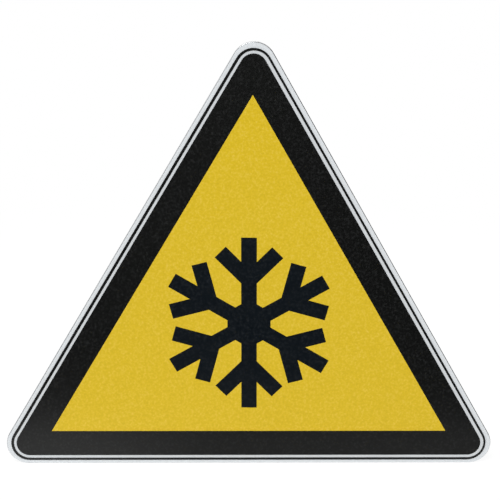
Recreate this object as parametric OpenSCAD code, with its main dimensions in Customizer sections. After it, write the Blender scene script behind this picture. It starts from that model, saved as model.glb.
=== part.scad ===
// Triangular warning sign: a flat metal plate with rounded corners, a white
// film over its front, and the print on the film, which is a thin contour line,
// a black band, a yellow field and a black snowflake.
// The sign stands upright: X runs along its bottom edge, Z is up and its front
// faces -Y. The origin is the middle of the plate's back face.

/* [Plate] */
// Width over the two bottom corners
plate_w = 300; // [270:1:400]
// Thickness of the metal
plate_t = 2; // [1:0.1:4]
// Radius of the plate's corners, seen from the front
corner_r = 13.2; // [11:0.1:20]
// Bevel that the cutting leaves round the front edge
edge_break = 0.3; // [0.2:0.1:0.6]

/* [Face film] */
// Thickness of the white film, which ends where the bevel starts
film_t = 0.2; // [0.1:0.05:0.4]

/* [Print] */
// Thickness of the printed layer on the film
print_t = 0.1; // [0.05:0.05:0.2]
// White margin from the plate's straight edges to the contour line
margin_w = 2.5; // [1.8:0.1:3]
// White margin from the plate's round corners to the contour line
corner_margin_w = 3.1; // [2.5:0.1:5]
// Width of the thin black contour line
contour_w = 1.5; // [0.8:0.05:2]
// White line between the contour line and the black band
gap_w = 1.75; // [1:0.05:3]
// Width of the black band
band_w = 16.15; // [12:0.05:20]
// How far the contour line's opening is printed to the right of the print's middle
opening_x = 0.2; // [-0.4:0.05:0.4]
// How far the yellow field is printed to the right of the print's middle
field_x = -0.2; // [-0.5:0.1:0.5]
// How far the print sits to the right of the plate's middle
print_x = -0.2; // [-0.5:0.1:0.5]
// How far the print sits above the plate's middle
print_z = -0.35; // [-0.6:0.05:0.6]

/* [Snowflake] */
// Length of an arm, from the snowflake's middle to the arm's square end
arm_l = 54; // [46:0.1:60]
// Width of an arm
arm_w = 9.5; // [6:0.1:11]
// Width of the hexagonal hub across its flats, which face the gaps
hub_w = 26.4; // [20:0.2:32]
// Distance from the middle to where the branches of the three upper arms start
upper_branch_at = 27.5; // [22:0.1:30]
// Distance from the middle to where the branches of the three lower arms start
lower_branch_at = 25.8; // [22:0.1:30]
// Length of a branch, from the arm's middle line to the branch's square end
branch_l = 24.6; // [20:0.1:28]
// Width of a branch
branch_w = 9.5; // [6:0.1:11]
// Angle between a branch and its arm
branch_angle = 45; // [40:1:50]
// How far the snowflake sits to the right of the print's middle
flake_x = -1; // [-3:0.1:3]
// How far the snowflake sits above the print's middle
flake_z = -0.25; // [-3:0.05:3]
// Ratio by which it is narrower and taller than an even snowflake
flake_squeeze_ratio = 0.009; // [-0.03:0.001:0.03]
// Angle by which its upright line leans to the left and its level line to the right
flake_lean_angle = 0.6; // [-2:0.1:2]

/* [Hidden] */
$fn = 96;

// Colours as the sign shows them
METAL = [0.70, 0.71, 0.72];
WHITE = [0.86, 0.87, 0.89];
BLACK = [0.10, 0.10, 0.10];
YELLOW = [0.86, 0.73, 0.18];
BLUE_BLACK = [0.07, 0.08, 0.11];

// Where the corners of an upright equilateral triangle lie round its middle,
// and how far round from a corner the two sides beside it face
CORNERS = [90, 210, 330];
SIDE_ANGLE = 60;

// Each outline has an inradius, from its middle to a side, and a corner radius.
// A corner arc's top lies two inradii less one corner radius from the middle,
// which ties the contour line's radius to the two margins. The outlines inside
// it follow by the width of a line or a gap, with the same corner centres.
plate_in = corner_r + (plate_w - 2 * corner_r) / (2 * sqrt(3));
contour_in = plate_in - margin_w;
contour_r = corner_r + corner_margin_w - 2 * margin_w;
gap_in = contour_in - contour_w;
gap_r = contour_r - contour_w;
band_in = gap_in - gap_w;
band_r = gap_r - gap_w;
field_in = band_in - band_w;

// How deep the ends of a straight side lie inside the discs that round its
// corners, so that a side and a disc cut across each other
lap = 0.002;

// The levels on the plate, from its back face at zero
film_level = plate_t;
print_level = film_level + film_t;

ARMS = 6;
arm_turn = 360 / ARMS;

// A point one unit from the middle, in the given direction
function toward(angle) = [cos(angle), sin(angle)];

// From an outline's middle to the centres of its corner arcs, or to its sharp
// corners where r is zero
function corner_reach(inradius, r = 0) = 2 * (inradius - r);

// The corners of a sharp upright triangle
function triangle_points(inradius, r = 0) =
    [for (corner = CORNERS) corner_reach(inradius, r) * toward(corner)];

// An upright triangle with sharp corners
module sharp_triangle(inradius) {
    polygon(triangle_points(inradius));
}

// An upright triangle with round corners: three discs, and a six-sided shape
// between the points where its straight sides touch them
module rounded_triangle(inradius, r) {
    centres = triangle_points(inradius, r);
    for (centre = centres) {
        translate(centre) circle(r);
    }
    polygon([
        for (i = [0 : len(CORNERS) - 1])
            for (turn = [-SIDE_ANGLE, SIDE_ANGLE])
                centres[i] + (r - lap) * toward(CORNERS[i] + turn)
    ]);
}

// Where the print has a point of an even snowflake
function as_printed(p) =
    let (squeeze = flake_squeeze_ratio, lean = tan(flake_lean_angle))
    p + [-squeeze * p[0] - lean * p[1], squeeze * p[1] - lean * p[0]];

// The corners of a straight bar that starts in the middle of its square end
function bar_points(start, angle, l, w) =
    let (along = l * toward(angle), aside = w / 2 * toward(angle + 90))
    [start - aside, start + along - aside, start + along + aside, start + aside];

// One straight-sided shape of the snowflake, as the print has it
module flake_shape(points) {
    polygon([for (p = points) as_printed(p)]);
}

// One arm of the snowflake with its two branches
module flake_arm(angle, branch_at) {
    flake_shape(bar_points([0, 0], angle, arm_l, arm_w));
    for (turn = [-branch_angle, branch_angle]) {
        flake_shape(bar_points(branch_at * toward(angle), angle + turn, branch_l, branch_w));
    }
}

// The whole snowflake, where it lies on the print: the hub's corners point
// along the arms
module flake_outline() {
    hub_reach = hub_w / 2 / cos(arm_turn / 2);
    translate([flake_x, flake_z]) {
        flake_shape([for (i = [0 : ARMS - 1]) hub_reach * toward(CORNERS[0] + i * arm_turn)]);
        for (i = [0 : ARMS - 1]) {
            angle = CORNERS[0] + i * arm_turn;
            flake_arm(angle, sin(angle) > 0 ? upper_branch_at : lower_branch_at);
        }
    }
}

// Stands a flat shape up, so that what faced +Z faces the front
module stand_up() {
    rotate([90, 0, 0]) children();
}

// A field of the print, on the film
module printed() {
    stand_up() translate([print_x, print_z, print_level])
        linear_extrude(print_t) children();
}

// The metal plate: stretched over a disc in each corner, with the front edge
// broken all the way round
module sign_plate() {
    color(METAL) stand_up() hull() {
        for (centre = triangle_points(plate_in, corner_r)) {
            translate(centre) {
                cylinder(h = plate_t - edge_break, r = corner_r);
                cylinder(h = plate_t, r = corner_r - edge_break);
            }
        }
    }
}

// The white film that covers the plate's front inside the bevel
module face_film() {
    color(WHITE) stand_up() translate([0, 0, film_level])
        linear_extrude(film_t)
            rounded_triangle(plate_in - edge_break, corner_r - edge_break);
}

// The thin black line round the print
module contour_line() {
    color(BLACK) printed() difference() {
        rounded_triangle(contour_in, contour_r);
        translate([opening_x, 0]) rounded_triangle(gap_in, gap_r);
    }
}

// The outline that the band and the yellow field share
module field_outline() {
    translate([field_x, 0]) sharp_triangle(field_in);
}

// The black band, round at its outer corners and sharp at its inner ones
module black_band() {
    color(BLACK) printed() difference() {
        rounded_triangle(band_in, band_r);
        field_outline();
    }
}

// The yellow field, which the snowflake is left out of
module yellow_field() {
    color(YELLOW) printed() difference() {
        field_outline();
        flake_outline();
    }
}

// The black snowflake, level with the yellow round it
module snowflake() {
    color(BLUE_BLACK) printed() flake_outline();
}

sign_plate();
face_film();
contour_line();
black_band();
yellow_field();
snowflake();
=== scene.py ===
# %% [markdown]
# # A triangular warning sign
#
# The sign is a flat metal plate with round corners. White film covers its front, and the film
# carries the print: a thin contour line, a wide black band, a yellow field and a snowflake.
# The imported model already holds each of these layers at its real size, so this lesson builds
# only what the solids lack: a plate with a true blanked edge, a film with painted shade beside
# the ink, and the finish of each surface.
#
# The first step loads the imported model and measures its box at once. It is measured at once,
# because the model that is shown has to stay inside that box.

import math

import bmesh
import bpy
from mathutils import Matrix, Vector


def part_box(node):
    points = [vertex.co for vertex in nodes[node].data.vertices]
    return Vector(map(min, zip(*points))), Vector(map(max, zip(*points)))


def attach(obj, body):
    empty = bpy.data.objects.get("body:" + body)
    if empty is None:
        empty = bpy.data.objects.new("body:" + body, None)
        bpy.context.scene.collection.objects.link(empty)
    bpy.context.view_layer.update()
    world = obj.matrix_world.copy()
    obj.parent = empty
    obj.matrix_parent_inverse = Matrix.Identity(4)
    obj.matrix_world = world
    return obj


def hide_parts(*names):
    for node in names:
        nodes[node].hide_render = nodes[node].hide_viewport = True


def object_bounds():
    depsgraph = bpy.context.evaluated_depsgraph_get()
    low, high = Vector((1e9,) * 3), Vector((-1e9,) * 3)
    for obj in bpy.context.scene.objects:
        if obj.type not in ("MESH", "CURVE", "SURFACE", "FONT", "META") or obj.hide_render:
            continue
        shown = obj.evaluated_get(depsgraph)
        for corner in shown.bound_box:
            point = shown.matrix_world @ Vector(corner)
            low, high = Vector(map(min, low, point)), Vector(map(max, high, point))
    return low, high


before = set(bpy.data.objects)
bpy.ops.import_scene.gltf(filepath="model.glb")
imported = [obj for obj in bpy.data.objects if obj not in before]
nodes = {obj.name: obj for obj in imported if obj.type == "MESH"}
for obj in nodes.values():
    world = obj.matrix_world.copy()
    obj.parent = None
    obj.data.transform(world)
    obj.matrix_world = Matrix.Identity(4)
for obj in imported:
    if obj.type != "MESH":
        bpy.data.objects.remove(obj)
cad_low, cad_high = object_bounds()
MM = 0.001
print("pieces:", ", ".join(sorted(nodes)))
print("size in mm:", [round(side / MM, 2) for side in cad_high - cad_low])

# %% [markdown]
# ## Outlines with round corners
#
# A sign blank like this one is punched out of sheet. Seen from the front it is an upright
# triangle with equal sides and three round corners, and so are the film and the contour line on
# it. Such an outline needs only a middle, a width and a corner radius, and all three can be read
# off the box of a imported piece. The radius follows from how much taller the box is than a sharp
# triangle of the same width.
#
# A corner is an arc of 120 degrees round its own centre. An outline that lies further in keeps
# the same three centres and only has a smaller radius, so one function gives every ring that
# the plate and the film need.

# %% Measure and draw round-cornered triangles
CORNERS = [90, 210, 330]
HALF_CORNER_ARC = 60
STEPS_PER_CORNER = 32
ROOT_OF_3 = math.sqrt(3)


def measured_triangle(name):
    """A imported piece's outline: middle x, middle z, reach of its corner centres, radius."""
    low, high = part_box(name)
    width = high.x - low.x
    height = high.z - low.z
    radius = (height - width * ROOT_OF_3 / 2) / (2 - ROOT_OF_3)
    reach = (width - 2 * radius) / ROOT_OF_3
    middle_x = (low.x + high.x) / 2
    middle_z = low.z + radius + reach / 2
    return middle_x, middle_z, reach, radius


def outline(triangle, inset):
    """The points of a triangle's outline, moved in by inset, as (x, z) pairs."""
    middle_x, middle_z, reach, radius = triangle
    points = []
    for corner in CORNERS:
        centre = math.radians(corner)
        for step in range(STEPS_PER_CORNER + 1):
            turn = math.radians(corner + HALF_CORNER_ARC * (2 * step / STEPS_PER_CORNER - 1))
            points.append((
                middle_x + reach * math.cos(centre) + (radius - inset) * math.cos(turn),
                middle_z + reach * math.sin(centre) + (radius - inset) * math.sin(turn),
            ))
    return points


for name in ("sign_plate", "face_film", "contour_line"):
    *_, radius = measured_triangle(name)
    print(name, "corner radius in mm:", round(radius / MM, 2))

# %% [markdown]
# ## The plate's edge
#
# Punching leaves its own marks on an edge. On the front, where the tool went in, the metal is
# pulled down into a soft roll. The cut face behind it is straight, and at the back a tiny break
# is left, where the burr was taken off.
#
# A bevel modifier with a weight on each edge could round them too. But roll, cut face and break
# are one line from front to back, so the edge is drawn as a section here, a short list of how far
# in and how deep each ring lies.

# %% The edge as a section
ROLL_SIZE = 0.3 * MM
ROLL_STEPS = 6
BREAK_SIZE = 0.12 * MM
BREAK_STEPS = 3


def quarter_turn(steps):
    """The cosines and sines of a quarter turn, from (1, 0) to (0, 1)."""
    angles = [math.pi / 2 * step / steps for step in range(steps + 1)]
    return [(math.cos(angle), math.sin(angle)) for angle in angles]


def edge_section(thickness):
    """Pairs of inset and depth, from the back face round the edge to the front face."""
    back = [
        (BREAK_SIZE * (1 - sine), BREAK_SIZE * (1 - cosine))
        for cosine, sine in quarter_turn(BREAK_STEPS)
    ]
    front = [
        (ROLL_SIZE * (1 - cosine), thickness - ROLL_SIZE * (1 - sine))
        for cosine, sine in quarter_turn(ROLL_STEPS)
    ]
    return back + front


plate_low, plate_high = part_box("sign_plate")
plate_section = edge_section(plate_high.y - plate_low.y)
print("rings in the edge:", len(plate_section))

# %% [markdown]
# ## From rings to a piece
#
# Plate and film are made in the same two steps. First, rings of points are joined into a closed
# mesh: each ring to the next, and a flat face over the first and the last. Then the mesh becomes
# an object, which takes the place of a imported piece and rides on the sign's one body.
#
# A flat triangle with a solidify modifier would be quicker, but it gives straight walls only,
# and rings can follow any section.

# %% Helpers that turn rings into a piece


def join_rings(mesh, rings):
    """Closes a mesh from rings of points, and returns the faces between them."""
    between = []
    for near, far in zip(rings, rings[1:]):
        for i in range(len(near)):
            after = (i + 1) % len(near)
            between.append(mesh.faces.new((near[i], near[after], far[after], far[i])))
    mesh.faces.new(rings[0])
    mesh.faces.new(rings[-1])
    bmesh.ops.recalc_face_normals(mesh, faces=mesh.faces)
    return between


def take_place(mesh, name, node, slot):
    """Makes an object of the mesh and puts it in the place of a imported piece."""
    data = bpy.data.meshes.new(name)
    mesh.to_mesh(data)
    mesh.free()
    piece = bpy.data.objects.new(name, data)
    bpy.context.scene.collection.objects.link(piece)
    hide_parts(node)
    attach(piece, "root")
    return piece


ring_helpers = [helper.__name__ for helper in (join_rings, take_place)]
print("helpers:", ", ".join(ring_helpers))

# %% [markdown]
# ## The plate
#
# The plate repeats its outline along the section of its edge. The faces round that edge are
# shaded smooth and carry a mark in the mesh, a number called cut, which the metal's finish reads
# later on. The back and the front stay flat and without a mark.

# %% Build the plate from its rings


def build_plate():
    """The plate as one closed mesh, with the faces round its edge marked."""
    triangle = measured_triangle("sign_plate")
    mesh = bmesh.new()
    cut = mesh.faces.layers.float.new("cut")
    rings = [
        [mesh.verts.new((x, plate_high.y - depth, z)) for x, z in outline(triangle, inset)]
        for inset, depth in plate_section
    ]
    for side in join_rings(mesh, rings):
        side.smooth = True
        side[cut] = 1.0
    return take_place(mesh, "blanked_plate", "sign_plate", "plate_metal")


plate = build_plate()
print("plate faces:", len(plate.data.polygons))

# %% [markdown]
# ## The film
#
# Light that enters the film close to the ink is partly caught under it. That loss of light is
# painted into the film's colour as shade: the white line between the two black ones is painted a
# little greyer than the open margin, and the margin itself is painted greyer towards the line. The
# imported film has points on its outline alone, and none that could carry such painted shade.
#
# The film is therefore built again, with the same outline and thickness, but with rings across
# its front. Each ring carries a number called beside_ink, which says how much shade is painted
# there: 0 in the open and 1 between two black lines. From one ring to the next it runs evenly. The
# last rise, from the contour line's outer edge to 1, is hidden under that line, all but a trace.

# %% Build the film from rings that know the ink
# How far out the painted shade reaches from the contour line, how far in under the line it rises,
# and how much shade is painted on each ring.
PAINTED_SHADE_REACH = 1.4 * MM
UNDER_LINE = 1.4 * MM
OPEN = 0
AT_LINE = 0.6
BETWEEN_LINES = 1


def build_film():
    """The film as one closed mesh, with the nearness of the ink on its points."""
    low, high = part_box("face_film")
    film = measured_triangle("face_film")
    line = measured_triangle("contour_line")
    mesh = bmesh.new()
    beside_ink = mesh.verts.layers.float.new("beside_ink")
    rings = []
    for triangle, inset, y, nearness in (
        (film, 0, high.y, OPEN),
        (film, 0, low.y, OPEN),
        (line, -PAINTED_SHADE_REACH, low.y, OPEN),
        (line, 0, low.y, AT_LINE),
        (line, UNDER_LINE, low.y, BETWEEN_LINES),
    ):
        rings.append([mesh.verts.new((x, y, z)) for x, z in outline(triangle, inset)])
        for point in rings[-1]:
            point[beside_ink] = nearness
    join_rings(mesh, rings)
    return take_place(mesh, "ringed_film", "face_film", "white_film")


film = build_film()
print("film faces:", len(film.data.polygons))

# %% [markdown]
# ## The camera
#
# The photograph was taken from a little above the sign and almost straight on. Its nested
# triangles give the place of the camera: the further away one stands, the less the upper corner
# shrinks against the bottom edge. The values below say where the picture's middle meets the
# sign, and from which direction and distance.
#
# The camera is turned by three axes rather than by Euler angles, since the direction from the
# sign to the camera is already the camera's own backward axis.

# %% Place the camera
AIM = Vector((-1.09, -2.3, 46.21)) * MM
CAMERA_DISTANCE = 0.9524
CAMERA_AZIMUTH = -1.676
CAMERA_ELEVATION = 16.744
CAMERA_ROLL = 0.616
LENS_MM = 114.77


def toward(azimuth, elevation):
    """A direction in degrees: azimuth 0 is straight in front, and it grows to the right."""
    a = math.radians(azimuth)
    e = math.radians(elevation)
    return Vector((math.sin(a) * math.cos(e), -math.cos(a) * math.cos(e), math.sin(e)))


backward = toward(CAMERA_AZIMUTH, CAMERA_ELEVATION)
level_right = toward(CAMERA_AZIMUTH + 90, 0)
level_up = backward.cross(level_right)
roll = math.radians(CAMERA_ROLL)
right = level_right * math.cos(roll) + level_up * math.sin(roll)
up = backward.cross(right)

camera_data = bpy.data.cameras.new("camera")
camera_data.lens = LENS_MM
camera = bpy.data.objects.new("camera", camera_data)
bpy.context.scene.collection.objects.link(camera)
axes = Matrix((right, up, backward)).transposed().to_4x4()
camera.matrix_world = Matrix.Translation(AIM + backward * CAMERA_DISTANCE) @ axes
bpy.context.scene.camera = camera
print("camera at", [round(value, 3) for value in camera.matrix_world.translation])

# %% [markdown]
# ## The white room
#
# The photograph's background is pure white. More light on the object would give that too, but it
# would also wash out the sign's own colours. Light Path keeps the two apart: a ray that comes
# from the camera, from a reflection or through glass finds a white room, while a ray that lights
# a surface finds a calm grey one.
#
# The floor needs the same trick, so the mask and the switch between two shaders are functions of
# their own.

# %% Helpers that tell looking from lighting


def math_node(tree, operation, first, second):
    """The result of a Math node whose two inputs are sockets or numbers."""
    node = tree.nodes.new("ShaderNodeMath")
    node.operation = operation
    for place, value in enumerate((first, second)):
        if isinstance(value, bpy.types.NodeSocket):
            tree.links.new(value, node.inputs[place])
        else:
            node.inputs[place].default_value = value
    return node.outputs["Value"]


def add_seen_mask(tree):
    """Adds a value to a node tree that is 1 for camera, glossy and transmission rays."""
    path = tree.nodes.new("ShaderNodeLightPath")
    mask = path.outputs["Is Camera Ray"]
    for ray in ("Is Glossy Ray", "Is Transmission Ray"):
        mask = math_node(tree, "MAXIMUM", mask, path.outputs[ray])
    return mask


def switch(tree, share, lights, looks, output):
    """Gives the output one shader where share is 0 and the other where share is 1."""
    mix = tree.nodes.new("ShaderNodeMixShader")
    for source, socket in zip((share, lights, looks), mix.inputs):
        tree.links.new(source, socket)
    tree.links.new(mix.outputs["Shader"], output.inputs["Surface"])


seen_helpers = [helper.__name__ for helper in (math_node, add_seen_mask, switch)]
print("helpers:", ", ".join(seen_helpers))

# %% [markdown]
# ## The view and the world
#
# The Standard view shows a strength of 1 as pure white and bends no colour. The room to look at
# has just that strength. The room that lights the sign is weaker, and the lamps do the rest.

# %% Set the view and the world
AMBIENT_STRENGTH = 0.36
SEEN_STRENGTH = 1
WHITE = (1, 1, 1, 1)


def background(tree, strength):
    """A white background of the given strength."""
    node = tree.nodes.new("ShaderNodeBackground")
    node.inputs["Color"].default_value = WHITE
    node.inputs["Strength"].default_value = strength
    return node.outputs["Background"]


def build_world(tree):
    """A white room to look at, and a grey one to be lit by."""
    tree.nodes.clear()
    lights = background(tree, AMBIENT_STRENGTH)
    looks = background(tree, SEEN_STRENGTH)
    switch(tree, add_seen_mask(tree), lights, looks, tree.nodes.new("ShaderNodeOutputWorld"))


bpy.context.scene.view_settings.view_transform = "Standard"
world = bpy.data.worlds.new("white_room")
bpy.context.scene.world = world
world.use_nodes = True
build_world(world.node_tree)
print("ambient strength:", AMBIENT_STRENGTH)

# %% [markdown]
# ## Helpers for materials
#
# A material is a tree of nodes that ends in a shader. Three small functions take up what the
# materials here repeat: the tree with its Principled shader, the place of a point on its object,
# and a ramp from one amount to another. The place is taken in the object's own coordinates, which
# are in metres. Unwrapped coordinates would do too, but they would have to be laid out first.

# %% Helpers for materials


def new_material(name):
    """A material with its node tree and its Principled shader."""
    material = bpy.data.materials.new(name)
    material.use_nodes = True
    tree = material.node_tree
    return material, tree, tree.nodes["Principled BSDF"]


def object_place(tree):
    """Where a point of the surface lies, in the object's own coordinates."""
    return tree.nodes.new("ShaderNodeTexCoord").outputs["Object"]


def ramp(tree, value, start, end):
    """A value that runs smoothly from one (place, amount) pair to another."""
    node = tree.nodes.new("ShaderNodeMapRange")
    node.interpolation_type = "SMOOTHSTEP"
    names = ("From Min", "To Min", "From Max", "To Max")
    for name, number in zip(names, start + end):
        node.inputs[name].default_value = number
    tree.links.new(value, node.inputs["Value"])
    return node.outputs["Result"]


material_helpers = [helper.__name__ for helper in (new_material, object_place, ramp)]
print("helpers:", ", ".join(material_helpers))

# %% [markdown]
# ## The floor's finish
#
# The sign stands on its bottom edge on a plain white table. The floor is an ordinary matt
# surface, so that it takes the sign's soft shadow, but where the camera looks at it, most of
# what is seen is a plain white glow. Near the sign some of the real shading stays in the mix,
# and that keeps the shadow. The shading is a little darker than white, so the glow is a little
# stronger there. Further out the glow takes over, and the table runs into the white room with
# no line between them.

# %% Build the white table's material
FLOOR_COLOUR = (0.95, 0.95, 0.95, 1)
FLOOR_ROUGHNESS = 0.9
GLOW_SHARE = (0.25, 0.85), (0.65, 1.0)
GLOW_STRENGTH = (0.25, 1.05), (0.65, 1.0)


def build_floor_material():
    """Matt white that glows where it is looked at."""
    material, tree, surface = new_material("white_table")
    surface.inputs["Base Color"].default_value = FLOOR_COLOUR
    surface.inputs["Roughness"].default_value = FLOOR_ROUGHNESS
    away = tree.nodes.new("ShaderNodeVectorMath")
    away.operation = "LENGTH"
    tree.links.new(object_place(tree), away.inputs[0])
    distance = away.outputs["Value"]
    glow = tree.nodes.new("ShaderNodeEmission")
    glow.inputs["Color"].default_value = WHITE
    tree.links.new(ramp(tree, distance, *GLOW_STRENGTH), glow.inputs["Strength"])
    share = math_node(tree, "MULTIPLY", add_seen_mask(tree), ramp(tree, distance, *GLOW_SHARE))
    output = tree.nodes["Material Output"]
    switch(tree, share, surface.outputs["BSDF"], glow.outputs["Emission"], output)
    return material


table_white = build_floor_material()
print("made", table_white.name)

# %% [markdown]
# ## The floor
#
# One flat face is enough for a table top.

# %% Lay the floor
FLOOR_FRONT = 0.8
FLOOR_BACK = 1.0
FLOOR_SIDE = 1.2


def mesh_object(name, points, faces):
    """An object from points and faces, linked to the scene."""
    data = bpy.data.meshes.new(name)
    data.from_pydata(points, [], faces)
    made = bpy.data.objects.new(name, data)
    bpy.context.scene.collection.objects.link(made)
    return made


floor_level = cad_low.z
floor_corners = [
    (-FLOOR_SIDE, -FLOOR_FRONT, floor_level),
    (FLOOR_SIDE, -FLOOR_FRONT, floor_level),
    (FLOOR_SIDE, FLOOR_BACK, floor_level),
    (-FLOOR_SIDE, FLOOR_BACK, floor_level),
]
floor = mesh_object("floor", floor_corners, [(0, 1, 2, 3)])
floor.data.materials.append(table_white)
print("floor level in mm:", round(floor_level / MM, 2))

# %% [markdown]
# ## The dark cloth
#
# Black print is only black in a picture if it mirrors something dark. A photographer lays a
# black cloth where the print would otherwise mirror the bright room. Here one cloth lies on the
# table, from the sign's foot out over the whole front half. Where it ends, far out, it also
# hangs upright, from a little left of the middle round the right side and on to the back.
#
# It is built in steps round the sign, and a step has a face that lies, one that hangs, or both.

# %% Cut the dark cloth to shape
CLOTH_NEAR = 4 * MM
CLOTH_FAR = 1.8
CLOTH_TOP = 1.6
CLOTH_LIFT = 1 * MM
CLOTH_START = -88
LIES_UNTIL = 90
HANGS_FROM = -14
CLOTH_END = 174
CLOTH_STEP = 2


def near_reach(azimuth):
    """How far out the lying part begins, so that its edge runs straight along the sign's foot."""
    facing = math.cos(math.radians(azimuth))
    return min(CLOTH_NEAR / facing, CLOTH_FAR) if facing > 0 else CLOTH_FAR


def build_cloth():
    """The cloth: three points in each direction, and the faces between the steps."""
    points = []
    faces = []
    lying = floor_level + CLOTH_LIFT
    for azimuth in range(CLOTH_START, CLOTH_END + 1, CLOTH_STEP):
        out = toward(azimuth, 0)
        rows = (near_reach(azimuth), lying), (CLOTH_FAR, lying), (CLOTH_FAR, CLOTH_TOP)
        for reach, height in rows:
            points.append((reach * out.x, reach * out.y, height))
        last_step = range(len(points) - 2 * len(rows), len(points) - len(rows))
        this_step = range(len(points) - len(rows), len(points))
        (near, far, top), (new_near, new_far, new_top) = last_step, this_step
        if CLOTH_START < azimuth <= LIES_UNTIL:
            faces.append((near, far, new_far, new_near))
        if azimuth > HANGS_FROM:
            faces.append((far, top, new_top, new_far))
    return mesh_object("dark_cloth", points, faces)


cloth = build_cloth()
print("cloth faces:", len(cloth.data.polygons))

# %% [markdown]
# ## The cloth's finish
#
# Close to the sign the cloth is sheer, so the lowest part of the print still mirrors some of the
# white table, more of it on the left than on the right. Ten centimetres out it is dense. Two
# ramps over its own coordinates say how sheer it is at each place, and Alpha takes what is left.
#
# Only glossy rays may find the cloth. The camera looks through it, and it takes no light away
# from the sign.

# %% Make the cloth dark and hide it from the camera
CLOTH_COLOUR = (0.01, 0.01, 0.01, 1)
SHEER_LEFT = (-125 * MM, 0.74)
SHEER_RIGHT = (-5 * MM, 0.32)
DENSE_OUT = (-105 * MM, 0)
SHEER_CLOSE = (-40 * MM, 1)


def build_cloth_material():
    """Black cloth that thins out towards the sign."""
    material, tree, surface = new_material("black_cloth")
    surface.inputs["Base Color"].default_value = CLOTH_COLOUR
    surface.inputs["Roughness"].default_value = 1
    surface.inputs["Specular IOR Level"].default_value = 0
    place = tree.nodes.new("ShaderNodeSeparateXYZ")
    tree.links.new(object_place(tree), place.inputs["Vector"])
    across = ramp(tree, place.outputs["X"], SHEER_LEFT, SHEER_RIGHT)
    close = ramp(tree, place.outputs["Y"], DENSE_OUT, SHEER_CLOSE)
    sheer = math_node(tree, "MULTIPLY", across, close)
    tree.links.new(math_node(tree, "SUBTRACT", 1, sheer), surface.inputs["Alpha"])
    return material


cloth.data.materials.append(build_cloth_material())
cloth.visible_camera = False
cloth.visible_diffuse = False
cloth.visible_transmission = False
cloth.visible_shadow = False
print("cloth has", cloth.data.materials[0].name)

# %% [markdown]
# ## The lamps
#
# One large soft lamp hangs at the front left, high above the sign, and a weaker one fills from
# the right. Together with the grey room they bring the front to a level where a colour comes out
# almost as it is written, with only the little white on top that the gloss adds. Both lamps hang
# high for two reasons: the table becomes as bright as the sign, and the print, which mirrors
# what lies low in front of it, doesn't mirror the lamps.

# %% Set up the lamps
LAMP_AIM = Vector((0, 0, 0.03))
LAMP_DISTANCE = 3.0


def add_lamp(name, azimuth, elevation, size, power):
    """A square soft lamp that faces the sign."""
    data = bpy.data.lights.new(name, "AREA")
    data.size = size
    data.energy = power
    lamp = bpy.data.objects.new(name, data)
    bpy.context.scene.collection.objects.link(lamp)
    away = toward(azimuth, elevation)
    lamp.location = LAMP_AIM + away * LAMP_DISTANCE
    lamp.rotation_mode = "QUATERNION"
    lamp.rotation_quaternion = away.to_track_quat("Z", "Y")


add_lamp("key_lamp", azimuth=-30, elevation=52, size=2.0, power=74)
add_lamp("fill_lamp", azimuth=42, elevation=38, size=1.5, power=18)
print("lamps:", len(bpy.data.lights))

# %% [markdown]
# ## Colours as they look
#
# A colour is easiest to judge as it looks on the screen, in steps from 0 to 255. Blender works
# with linear light, so two small functions turn the one into the other, by the curve that
# screens use: a straight line close to black, and a power above it. The film's white is written
# with them first, because every surface on the front needs it.

# %% Turn screen colours into linear light
STRAIGHT_UNTIL = 0.04045
STRAIGHT_SLOPE = 12.92
CURVE_SHIFT = 0.055
CURVE_POWER = 2.4


def linear_share(step):
    """Turns one step of 0 to 255 into a share of linear light."""
    share = step / 255
    if share <= STRAIGHT_UNTIL:
        return share / STRAIGHT_SLOPE
    return ((share + CURVE_SHIFT) / (1 + CURVE_SHIFT)) ** CURVE_POWER


def linear(red, green, blue):
    """Turns a screen colour into linear light, as a colour that covers fully."""
    return [linear_share(step) for step in (red, green, blue)] + [1]


FILM_WHITE = linear(211, 215, 218)
print("film white in linear light:", [round(c, 3) for c in FILM_WHITE])

# %% [markdown]
# ## Helpers for node groups
#
# An effect that several materials share is built once, as a shader node group with named inputs
# and outputs. The sign needs two of them, one for film and one for metal. Both name their
# sockets, both start from noise, and both end up mixed with a colour, so these steps come first.

# %% Helpers for node groups


def add_sockets(group, inputs, outputs):
    """Names a group's sockets, and hands back those to read from and those to fill."""
    for name, kind, value in inputs:
        socket = group.interface.new_socket(name=name, in_out="INPUT", socket_type=kind)
        socket.default_value = value
    for name, kind in outputs:
        group.interface.new_socket(name=name, in_out="OUTPUT", socket_type=kind)
    return group.nodes.new("NodeGroupInput").outputs, group.nodes.new("NodeGroupOutput").inputs


def noise_node(tree, vector, scale, detail):
    """Noise at a scale that is a socket or a number, in waves for each metre."""
    node = tree.nodes.new("ShaderNodeTexNoise")
    node.inputs["Detail"].default_value = detail
    tree.links.new(vector, node.inputs["Vector"])
    if isinstance(scale, bpy.types.NodeSocket):
        tree.links.new(scale, node.inputs["Scale"])
    else:
        node.inputs["Scale"].default_value = scale
    return node.outputs["Fac"]


def mixed(tree, blend, share, first, second):
    """Two colours blended. Share and colours are sockets or plain values."""
    node = tree.nodes.new("ShaderNodeMix")
    node.data_type = "RGBA"
    node.blend_type = blend
    for source, name in ((share, "Factor_Float"), (first, "A_Color"), (second, "B_Color")):
        socket = next(s for s in node.inputs if s.identifier == name)
        if isinstance(source, bpy.types.NodeSocket):
            tree.links.new(source, socket)
        else:
            socket.default_value = source
    return next(s for s in node.outputs if s.identifier == "Result_Color")


def outputs_of(group):
    """The names of what a group puts out."""
    return [item.name for item in group.interface.items_tree if item.in_out == "OUTPUT"]


group_helpers = [helper.__name__ for helper in (add_sockets, noise_node, mixed, outputs_of)]
print("helpers:", ", ".join(group_helpers))

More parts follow.
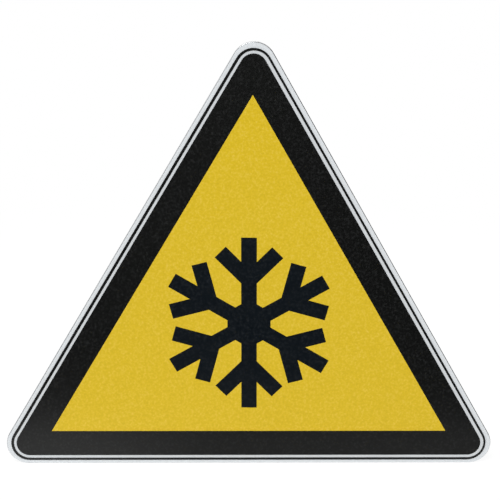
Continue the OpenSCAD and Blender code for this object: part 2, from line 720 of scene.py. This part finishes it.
# %% [markdown]
# ## Grain of the film
#
# Sign film isn't perfectly smooth. Its face has a fine pebbled grain, a little over a millimetre
# from hill to hill. The ink on it is lighter on the hills and darker between them, and on the
# hills it is also so thin that a trace of the white film shows through. A second noise, some
# centimetres wide, changes the tone by very little from place to place. White, yellow and black
# all share the film, so this grain is one node group that each material places with its own
# values.
#
# An image of film could be laid over the sign, but noise in the object's own coordinates has no
# seams, and it stays sharp from close up. The group takes a colour and gives it back with the
# grain in it, and it also puts out the grain's height for the bump.

# %% The film grain as a node group
NOISE_MIDDLE = 0.5
GRAIN_DETAIL = 2
TONE_DETAIL = 1


def centred_noise(tree, place, size, detail):
    """Noise with hills of the given size, and the same noise about zero."""
    scale = math_node(tree, "DIVIDE", 1, size)
    noise = noise_node(tree, place, scale, detail)
    return noise, math_node(tree, "SUBTRACT", noise, NOISE_MIDDLE)


def build_film_grain():
    """Colour with the film's grain in it, and the grain's height."""
    group = bpy.data.node_groups.new("film_grain", "ShaderNodeTree")
    given, result = add_sockets(
        group,
        [
            ("Colour", "NodeSocketColor", (0.5, 0.5, 0.5, 1)),
            ("Grain Size", "NodeSocketFloat", 1.35 * MM),
            ("Grain Depth", "NodeSocketFloat", 0.3),
            ("Tone Size", "NodeSocketFloat", 60 * MM),
            ("Tone Depth", "NodeSocketFloat", 0.02),
            ("Film Colour", "NodeSocketColor", FILM_WHITE),
            ("Show Through", "NodeSocketFloat", 0),
        ],
        [("Colour", "NodeSocketColor"), ("Height", "NodeSocketFloat")],
    )
    place = object_place(group)
    height, grain = centred_noise(group, place, given["Grain Size"], GRAIN_DETAIL)
    _, tone = centred_noise(group, place, given["Tone Size"], TONE_DETAIL)
    grain_swing = math_node(group, "MULTIPLY", grain, given["Grain Depth"])
    tone_swing = math_node(group, "MULTIPLY", tone, given["Tone Depth"])
    swing = math_node(group, "ADD", grain_swing, tone_swing)
    ink = mixed(group, "MULTIPLY", 1, given["Colour"], math_node(group, "ADD", swing, 1))
    hills = math_node(group, "MAXIMUM", grain, 0)
    bare = math_node(group, "MULTIPLY", hills, given["Show Through"])
    shown = mixed(group, "MIX", bare, ink, given["Film Colour"])
    group.links.new(shown, result["Colour"])
    group.links.new(height, result["Height"])
    return group


film_grain = build_film_grain()
print("film grain puts out:", outputs_of(film_grain))

# %% [markdown]
# ## The make of film and ink
#
# The white film and the three inks on it have the same make: a colour with the grain in it, a
# half-gloss that changes a little with the grain, and a shallow bump from it. Four materials
# could be built by hand, but they would soon drift apart. So one function builds such a surface
# from the few values in which they differ: its colour, how deep the grain goes in it, and how
# much film shows through.

# %% One function for film and ink
FILM_ROUGHNESS = 0.36
GLOSS_SWING = 0.1
FILM_BUMP = 0.016 * MM


def place_group(tree, group, values):
    """Places a node group in a tree and sets its inputs by name."""
    node = tree.nodes.new("ShaderNodeGroup")
    node.node_tree = group
    for name, value in values.items():
        node.inputs[name].default_value = value
    return node


def add_bump(tree, shader, height, depth):
    """Turns a height into the shader's normal. Depth is in metres."""
    bump = tree.nodes.new("ShaderNodeBump")
    bump.inputs["Strength"].default_value = 1
    bump.inputs["Distance"].default_value = depth
    tree.links.new(height, bump.inputs["Height"])
    tree.links.new(bump.outputs["Normal"], shader.inputs["Normal"])


def faced(name, colour, grain_depth, show_through):
    """A film or ink surface."""
    material, tree, shader = new_material(name)
    values = {"Colour": colour, "Grain Depth": grain_depth, "Show Through": show_through}
    grain = place_group(tree, film_grain, values)
    height = grain.outputs["Height"]
    gloss = math_node(tree, "MULTIPLY", height, GLOSS_SWING)
    roughness = math_node(tree, "ADD", gloss, FILM_ROUGHNESS - GLOSS_SWING * NOISE_MIDDLE)
    tree.links.new(grain.outputs["Colour"], shader.inputs["Base Color"])
    tree.links.new(roughness, shader.inputs["Roughness"])
    add_bump(tree, shader, height, FILM_BUMP)
    return material


bare_film = faced("white_sign_film", FILM_WHITE, grain_depth=0.15, show_through=0)
print("made", bare_film.name)

# %% [markdown]
# ## Painted shade on the film beside the ink
#
# The rings in the film's mesh already say how close the ink is. An Attribute node reads their
# number, and the white film's colour is darkened by a share of it before the colour reaches the
# shader. This darkening is painted shade, for the light that is caught under the ink.

# %% Paint shade on the film beside the ink
# The share of the film's colour that is taken away as painted shade between the lines.
PAINTED_SHADE_LOSS = 0.13


def paint_shade_beside_ink(material):
    """Paints shade into the colour where the mesh says that ink is close."""
    tree = material.node_tree
    base = tree.nodes["Principled BSDF"].inputs["Base Color"]
    nearness = tree.nodes.new("ShaderNodeAttribute")
    nearness.attribute_name = "beside_ink"
    loss = math_node(tree, "MULTIPLY", nearness.outputs["Fac"], PAINTED_SHADE_LOSS)
    kept = math_node(tree, "SUBTRACT", 1, loss)
    full_colour = base.links[0].from_socket
    tree.links.new(mixed(tree, "MULTIPLY", 1, full_colour, kept), base)


paint_shade_beside_ink(bare_film)
film.data.materials.append(bare_film)
print("film has", bare_film.name)

# %% [markdown]
# ## The inks
#
# Contour line and band are one black ink. The snowflake is printed in a colder black, and the
# yellow is the thinnest ink, so it lets more of the white film through than the blacks do. The
# grain goes deeper in an ink than in the bare film.
#
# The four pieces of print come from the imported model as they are. Each only gets its ink.

# %% Mix the inks and put them on the print
INK_GRAIN = 0.35
BLACK_SHOWS_FILM = 0.055
YELLOW_SHOWS_FILM = 0.19

yellow = faced("yellow_ink", linear(210, 178, 11), INK_GRAIN, YELLOW_SHOWS_FILM)
black = faced("black_ink", linear(11, 12, 11), INK_GRAIN, BLACK_SHOWS_FILM)
cold_black = faced("cold_black_ink", linear(5, 14, 21), INK_GRAIN, BLACK_SHOWS_FILM)

INKS = {
    "contour_line": black,
    "black_band": black,
    "yellow_field": yellow,
    "snowflake": cold_black,
}
for name, ink in INKS.items():
    nodes[name].data.materials.clear()
    nodes[name].data.materials.append(ink)
    print(name, "has", ink.name)

# %% [markdown]
# ## Grain of the metal
#
# Sheet comes from the mill with fine lines along the way that it was rolled, and the cut face
# has short lines that run through the thickness instead. Both are noise that is stretched in one
# direction, so they share a node group whose stretch is an input: a low number along an axis
# draws the noise out along it. The group serves a third time for the wide, faint bands that the
# rollers leave.

# %% The metal grain as a node group
LINE_DETAIL = 3


def build_metal_grain():
    """Lines in a metal surface, as a tone about 1 and a height."""
    group = bpy.data.node_groups.new("metal_grain", "ShaderNodeTree")
    given, result = add_sockets(
        group,
        [("Stretch", "NodeSocketVector", (1, 1, 1)), ("Depth", "NodeSocketFloat", 0.1)],
        [("Tone", "NodeSocketFloat"), ("Height", "NodeSocketFloat")],
    )
    stretched = group.nodes.new("ShaderNodeVectorMath")
    stretched.operation = "MULTIPLY"
    group.links.new(object_place(group), stretched.inputs[0])
    group.links.new(given["Stretch"], stretched.inputs[1])
    noise = noise_node(group, stretched.outputs["Vector"], 1, LINE_DETAIL)
    centred = math_node(group, "SUBTRACT", noise, NOISE_MIDDLE)
    swing = math_node(group, "MULTIPLY", centred, given["Depth"])
    group.links.new(math_node(group, "ADD", swing, 1), result["Tone"])
    group.links.new(noise, result["Height"])
    return group


metal_grain = build_metal_grain()
print("metal grain puts out:", outputs_of(metal_grain))

# %% [markdown]
# ## The bare metal
#
# The plate shows its metal at the back and round the rim. The back is plain sheet as it came
# from the mill. The number called cut, which the mesh carries, picks the cut face's lines where
# it is 1 and the rolled lines with their bands where it is 0. It also makes the cut face the
# smoother of the two, because the punch rubs it on its way through.

# %% Build the metal and put it on the plate
METAL_COLOUR = linear(188, 190, 192)
ROLLED_LINES = {"Stretch": (14, 200, 1600), "Depth": 0.34}
ROLLER_BANDS = {"Stretch": (3, 40, 150), "Depth": 0.14}
CUT_LINES = {"Stretch": (1500, 90, 1500), "Depth": 0.5}
ROLLED_ROUGHNESS = 0.34
CUT_ROUGHNESS = 0.22
METAL_BUMP = 0.004 * MM


def picked(tree, mask, plain, marked):
    """One value where the mask is 0 and another where it is 1."""
    mix = tree.nodes.new("ShaderNodeMix")
    tree.links.new(mask, mix.inputs["Factor"])
    tree.links.new(plain, mix.inputs["A"])
    tree.links.new(marked, mix.inputs["B"])
    return mix.outputs["Result"]


def build_metal():
    """Mill-finish metal with a cut rim."""
    material, tree, shader = new_material("mill_metal")
    shader.inputs["Metallic"].default_value = 1
    attribute = tree.nodes.new("ShaderNodeAttribute")
    attribute.attribute_name = "cut"
    cut = attribute.outputs["Fac"]
    rolled = place_group(tree, metal_grain, ROLLED_LINES).outputs
    bands = place_group(tree, metal_grain, ROLLER_BANDS).outputs
    sheared = place_group(tree, metal_grain, CUT_LINES).outputs
    sheet_tone = math_node(tree, "MULTIPLY", rolled["Tone"], bands["Tone"])
    tone = picked(tree, cut, sheet_tone, sheared["Tone"])
    height = picked(tree, cut, rolled["Height"], sheared["Height"])
    tree.links.new(mixed(tree, "MULTIPLY", 1, METAL_COLOUR, tone), shader.inputs["Base Color"])
    polish = math_node(tree, "MULTIPLY", cut, CUT_ROUGHNESS - ROLLED_ROUGHNESS)
    plain = math_node(tree, "ADD", polish, ROLLED_ROUGHNESS)
    tree.links.new(math_node(tree, "MULTIPLY", tone, plain), shader.inputs["Roughness"])
    add_bump(tree, shader, height, METAL_BUMP)
    return material


plate.data.materials.append(build_metal())
print("plate has", plate.data.materials[0].name)
